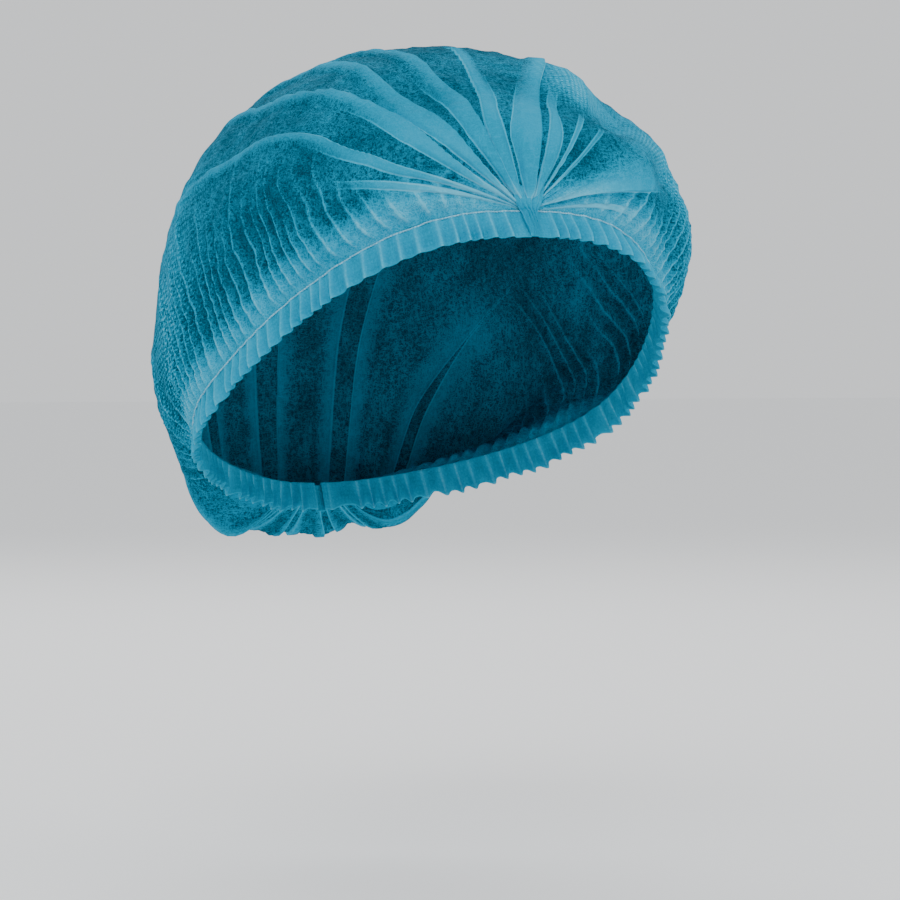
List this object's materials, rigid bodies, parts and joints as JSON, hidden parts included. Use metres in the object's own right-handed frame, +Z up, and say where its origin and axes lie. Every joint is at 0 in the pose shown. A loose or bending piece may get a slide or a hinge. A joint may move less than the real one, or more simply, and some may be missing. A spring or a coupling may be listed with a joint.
{
  "type": "disposable hairnet",
  "caption": "Bouffant clip cap of thin pleated non-woven cloth in its worn form, with ruffled elastic hems gathered to a weld at forehead and nape, open below for the head.",
  "frame": {"origin": "middle of the head opening: on the centre plane, halfway between the elastic at the front weld and at the rear weld", "axes": "+Z up, -Y the way the wearer faces, -X the wearer's right side"},
  "size_m": [0.1937, 0.2233, 0.1844],
  "materials": {
    "crown_cloth": "thin spun-bonded polypropylene, matt, lets light through",
    "hem_cloth": "the same cloth folded double, matt, ruffled",
    "elastic": "thin covered elastic strand, matt",
    "weld_cloth": "pleats pressed and welded together"
  },
  "bodies": {
    "root": {"crown": "crown_cloth", "hem_right": "hem_cloth", "hem_left": "hem_cloth", "elastic_right": "elastic", "elastic_left": "elastic", "front_weld": "weld_cloth", "rear_weld": "weld_cloth"}
  },
  "joints": []
}
